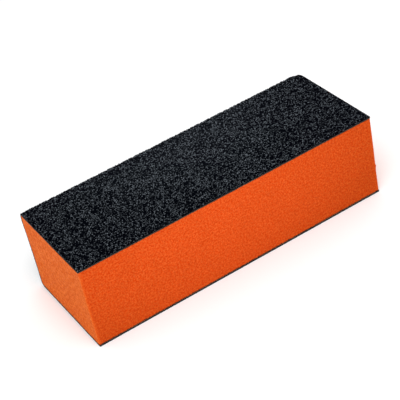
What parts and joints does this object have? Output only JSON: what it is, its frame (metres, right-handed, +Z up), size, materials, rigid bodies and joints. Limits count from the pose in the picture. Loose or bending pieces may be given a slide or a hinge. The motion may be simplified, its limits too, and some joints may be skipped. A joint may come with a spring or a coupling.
{
  "type": "sanding block",
  "caption": "Rectangular foam sanding block with a coarse black abrasive sheet wrapped over its top, back and underside; the front face and both ends are bare orange foam.",
  "frame": {"origin": "centre of the underside, on the surface that the block lies on", "axes": "+X along the block's length, +Y from the bare front face to the abrasive back, +Z up through the abrasive top"},
  "size_m": [0.095, 0.0352, 0.0264],
  "materials": {
    "orange_foam": "matt closed-cell foam with cut faces",
    "adhesive": "clear amber film",
    "backing_paper": "resin-filled dark paper",
    "resin": "cured black resin",
    "black_grit": "sharp silicon carbide grains"
  },
  "bodies": {
    "root": {"foam_core": "orange_foam", "adhesive_film": "adhesive", "backing_sheet": "backing_paper", "resin_bond": "resin", "abrasive_top": "black_grit", "abrasive_back": "black_grit", "abrasive_bottom": "black_grit"}
  },
  "joints": []
}
